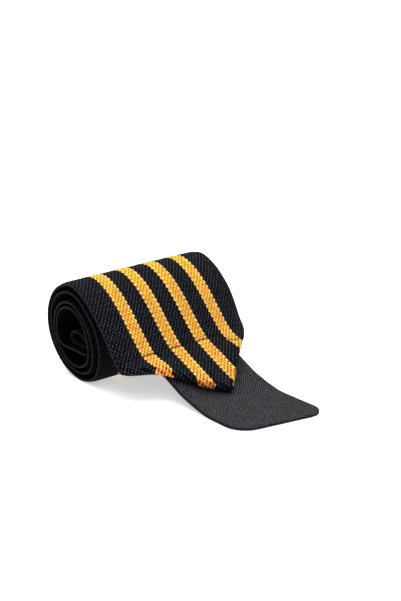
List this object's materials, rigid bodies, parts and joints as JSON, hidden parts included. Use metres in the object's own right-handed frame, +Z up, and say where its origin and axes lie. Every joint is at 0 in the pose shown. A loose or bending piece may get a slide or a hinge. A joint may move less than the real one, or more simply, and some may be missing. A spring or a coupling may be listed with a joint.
{
  "type": "wrist wrap",
  "caption": "Elastic wrist wrap rolled up on its side, striped band with a folded point, sewn hook tab and thumb loop.",
  "frame": {"origin": "under the middle of the wrap's box, on the surface it lies on", "axes": "+X along the tail from the roll to the hook tab, +Y along the roll's axis, +Z up"},
  "size_m": [0.1304, 0.08, 0.0485],
  "materials": {
    "striped_elastic": "black knitted elastic with four orange stripes",
    "hook_tape": "dark grey woven hook tape",
    "loop_tape": "black narrow woven elastic"
  },
  "bodies": {
    "root": {"elastic_band": "striped_elastic", "hook_tab": "hook_tape", "thumb_loop": "loop_tape"}
  },
  "joints": []
}
